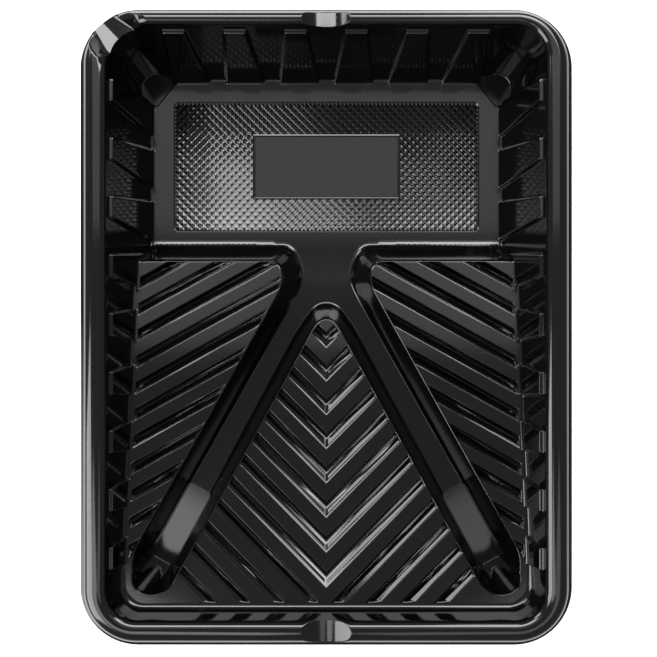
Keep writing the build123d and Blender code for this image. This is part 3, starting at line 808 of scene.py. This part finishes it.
for level in (-0.5, 0.0, 0.24, 0.47, 0.9):
    add_points(along_level_line(pocket_inside, level, 0.7, pocket_region))

riser_lines = (57.2, 56.2, 55.2, 54.3, 53.4, 52.3, 51.0, 49.5)
riser_lines += (48.0, 46.8, 46.0, 45.4, 44.8, 44.2, 43.5, 42.6)
for y in riser_lines:
    for low, high in clipped_line((0, y), (140, y), well_inside):
        count = int(abs(high[0] - low[0]) / 2.0) + 2
        xs = np.linspace(low[0], high[0], count)
        add_points(np.stack([xs, np.full(count, low[1])], -1))


def rounded_rectangle(half, front, back, corner, grow):
    """The right half of a rounded rectangle's outline, from the front to the back."""
    half, front, back, corner = half + grow, front - grow, back + grow, corner + grow
    points = [(0.0, front)]
    for cy, start in ((front + corner, -90), (back - corner, 0)):
        for i in range(9):
            angle = math.radians(start + 90 * i / 8)
            points.append((half - corner + corner * math.cos(angle), cy + corner * math.sin(angle)))
    return points + [(0.0, back)]


for grow in (-0.6, 0.0, 0.5):
    add_line(rounded_rectangle(*GRIP, grow))

middle_y = np.arange(GROOVE_FRONT + 1, GRIP[1] - 1, 0.8)
add_points(np.stack([0 * middle_y, middle_y], -1))
gx, gy = np.meshgrid(np.arange(2.0, 140, 3.6), np.arange(-180.0, 182, 3.6))
grid = np.stack([gx.ravel(), gy.ravel()], -1)
neck_x, neck_y = np.meshgrid(np.arange(1.0, 36, 1.1), np.arange(6.0, WELL_FRONT + 6, 1.1))
grid = np.concatenate([grid, np.stack([neck_x.ravel(), neck_y.ravel()], -1)])
keep = well_inside(grid[:, 0], grid[:, 1], 1.6)
grid = grid[keep]
grip_room = rounded_box_inside(grid[:, 0], grid[:, 1], *GRIP)
add_points(grid[grip_room < -1])

plan = np.concatenate(plan_points)
vectors = [Vector((x, y)) for x, y in plan.tolist()]
result = delaunay_2d_cdt(vectors, plan_edges, [], 0, 1e-3)
flat = np.array([tuple(v) for v in result[0]])
triangles = np.array([tuple(f) for f in result[2]])
middle = flat[triangles].mean(1)
keep = inside_loop(middle[:, 0], middle[:, 1])
keep &= rounded_box_inside(middle[:, 0], middle[:, 1], *GRIP) < 0.6
area = np.cross(
    flat[triangles[:, 1]] - flat[triangles[:, 0]], flat[triangles[:, 2]] - flat[triangles[:, 0]]
)
triangles = np.where((area < 0)[:, None], triangles[:, ::-1], triangles)
keep &= np.abs(area) > 1e-5
triangles, middle = triangles[keep], middle[keep]

heights = surface(flat[:, 0], flat[:, 1])
normals = surface_normal(flat[:, 0], flat[:, 1])
points = np.column_stack([flat, heights])
drop = SHEET * np.minimum(1 / normals[:, 2], 2.4)
under = np.column_stack([flat, np.maximum(heights - drop, 0)])

# The left half, mirrored, with the middle line shared
flip = np.array([-1.0, 1.0, 1.0])
on_middle = flat[:, 0] < 1e-4
normals[on_middle, 0] = 0
normals /= np.linalg.norm(normals, axis=1, keepdims=True)
mirror_index = np.arange(len(flat)) + len(flat)
mirror_index[on_middle] = np.flatnonzero(on_middle)
all_points = np.concatenate([points, points * flip])
all_normals = np.concatenate([normals, normals * flip])
all_under = np.concatenate([under, under * flip])
left_triangles = mirror_index[triangles][:, ::-1]


def floor_zone(x, y):
    """The CAD node, without its side, that each point of the right half belongs to."""
    channel = channel_inside(x, y) > np.where(y > RAMP_BACK, 0.25, 0)
    return np.select(
        [
            pocket_inside(x, y) > 0.2,
            y > WELL_FRONT,
            pad_outside(x, y) < 0.9,
            channel & (y > -20),
            channel,
            y > RAMP_BACK,
            in_centre(x, y),
        ],
        ["rear_foot", "well_floor", "front_foot", "channel_neck", "channel_leg", "riser", "ramp_centre"],
        "ramp_side",
    )


zone_of = floor_zone(middle[:, 0], middle[:, 1])
for zone in np.unique(zone_of):
    mine = triangles[zone_of == zone]
    mirrored = left_triangles[zone_of == zone]
    if zone in ("well_floor", "channel_neck", "ramp_centre"):
        both = np.concatenate([mine, mirrored])
        closed_piece(f"{zone}_skin", [str(zone)], all_points, all_normals, all_under, both)
        continue
    for side, faces in (("right", mine), ("left", mirrored)):
        name = f"{zone}_{side}"
        closed_piece(f"{name}_skin", [name], all_points, all_normals, all_under, faces)


# Grip panel and plaque ----------------------------------------------------------------------------
def grip_height(x, y):
    """Pyramids between crossed diagonal grooves, cut off by the panel's edge and the plaque's."""
    p = (x + y - GRIP[1]) / KNURL_STEP
    q = (x - y + GRIP[1]) / KNURL_STEP
    p = np.abs((p + 1) % 2 - 1)
    q = np.abs((q + 1) % 2 - 1)
    peak = np.minimum(1 - np.maximum(p, q), 0.86) / 0.86
    z = KNURL_VALLEY + (KNURL_TIP - KNURL_VALLEY) * peak
    edge = rounded_box_inside(np.abs(x), y, *GRIP)
    return np.where(edge < 0.7, KNURL_VALLEY, z)


def grip_mesh():
    """The knurled panel on a lattice that has a vertex at every tip and valley."""
    half, front, back, _ = GRIP
    step = KNURL_STEP / 2
    xs = np.arange(-int(half / step), int(half / step) + 1) * step
    ys = front + np.arange(0, int((back - front) / step) + 1) * step
    xs = np.concatenate([[-half], xs[1:-1], [half]])
    ys = np.concatenate([[front], ys[1:-1], [back]])
    gx, gy = np.meshgrid(xs, ys)
    z = grip_height(gx, gy)
    grid_points = np.stack([gx, gy, z], -1).reshape(-1, 3)
    columns = len(xs)
    faces = []
    for j in range(len(ys) - 1):
        for i in range(columns - 1):
            mx, my = (xs[i] + xs[i + 1]) / 2, (ys[j] + ys[j + 1]) / 2
            if abs(mx) < PLAQUE[0] and PLAQUE[1] < my < PLAQUE[2]:
                continue
            a, b = j * columns + i, j * columns + i + 1
            c, d = b + columns, a + columns
            if (i + j) % 2:
                faces += [(a, b, d), (b, c, d)]
            else:
                faces += [(a, b, c), (a, c, d)]
    return grid_points, np.array(faces)


def flat_shaded(name, nodes, points, faces):
    """A closed piece whose upper faces keep their own normals."""
    used, index = np.unique(faces, return_inverse=True)
    points = points[used]
    under = points.copy()
    under[:, 2] = np.maximum(points[:, 2] - SHEET, 0)
    mesh, _ = new_mesh(name, points, under, index.reshape(faces.shape))
    return place_piece(name, mesh, nodes)


panel_points, panel_faces = grip_mesh()
flat_shaded("grip_panel_skin", ["grip_panel"], panel_points, panel_faces)


def plaque_mesh():
    """The blank plaque: a raised thin frame round a smooth field."""
    profile = ((0.0, KNURL_VALLEY), (0.25, 2.35), (0.9, 2.45), (1.3, 2.35), (1.8, 1.95), (2.6, 1.9))
    half, front, back = PLAQUE
    loops = []
    for inset, level in profile:
        h, f, b = half + 0.6 - inset, front - 0.6 + inset, back + 0.6 - inset
        loops.append([(-h, f, level), (h, f, level), (h, b, level), (-h, b, level)])
    plaque_points = np.array(loops).reshape(-1, 3)
    faces = []
    for ring_index in range(len(profile) - 1):
        for i in range(4):
            a = ring_index * 4 + i
            b = ring_index * 4 + (i + 1) % 4
            faces += [(a, b, b + 4), (a, b + 4, a + 4)]
    last = (len(profile) - 1) * 4
    faces += [(last, last + 1, last + 2), (last, last + 2, last + 3)]
    return plaque_points, np.array(faces)


plaque_points, plaque_faces = plaque_mesh()
flat_shaded("blank_plaque_skin", ["blank_plaque"], plaque_points, plaque_faces)


# Stage --------------------------------------------------------------------------------------------
TRAY_MIDDLE = Vector((0, 0, 0.05))


def pale_floor():
    mesh = bpy.data.meshes.new("studio_floor")
    corners = [(-4, -4, 0), (4, -4, 0), (4, 4, 0), (-4, 4, 0)]
    mesh.from_pydata(corners, [], [(0, 1, 2, 3)])
    floor = bpy.data.objects.new("studio_floor", mesh)
    bpy.context.collection.objects.link(floor)
    material = bpy.data.materials.new("studio_white")
    material.use_nodes = True
    shader = material.node_tree.nodes["Principled BSDF"]
    shader.inputs["Base Color"].default_value = (0.93, 0.93, 0.93, 1)
    shader.inputs["Roughness"].default_value = 0.9
    shader.inputs["Emission Color"].default_value = (1, 1, 1, 1)
    shader.inputs["Emission Strength"].default_value = 0.4
    mesh.materials.append(material)


def softbox(name, place, size, power):
    """A soft rectangular light that faces the tray."""
    light = bpy.data.lights.new(name, "AREA")
    light.shape = "RECTANGLE"
    light.size, light.size_y = size
    light.energy = power
    lamp = bpy.data.objects.new(name, light)
    bpy.context.collection.objects.link(lamp)
    lamp.location = place
    lamp.rotation_euler = (TRAY_MIDDLE - lamp.location).to_track_quat("-Z", "Y").to_euler()


def camera():
    """Straight above, with the tray just left of and above the picture's middle."""
    data = bpy.data.cameras.new("camera")
    data.sensor_width = 36.0
    data.lens = 41.34
    item = bpy.data.objects.new("camera", data)
    bpy.context.collection.objects.link(item)
    item.location = (0.00143, -0.00075, 0.5302)
    bpy.context.scene.camera = item


pale_floor()
camera()
softbox("front_left_box", (-1.0, -0.5, 0.86), (0.85, 1.05), 19)
softbox("back_left_box", (-0.95, 0.95, 0.72), (0.5, 0.8), 8)
softbox("back_right_box", (0.6, 1.2, 1.2), (0.6, 0.7), 5)
softbox("back_box", (0.0, 1.06, 1.6), (1.6, 0.55), 28)
softbox("back_top_box", (0.0, 0.55, 1.9), (1.5, 0.5), 1.9)
softbox("front_top_left_box", (-0.45, -0.75, 1.9), (0.8, 0.4), 3.0)
softbox("front_top_right_box", (0.45, -0.75, 1.9), (0.8, 0.4), 1.2)

world = bpy.data.worlds.new("studio")
bpy.context.scene.world = world
world.use_nodes = True
world.node_tree.nodes["Background"].inputs["Color"].default_value = (1, 1, 1, 1)
world.node_tree.nodes["Background"].inputs["Strength"].default_value = 0.28
bpy.context.scene.view_settings.view_transform = "Standard"
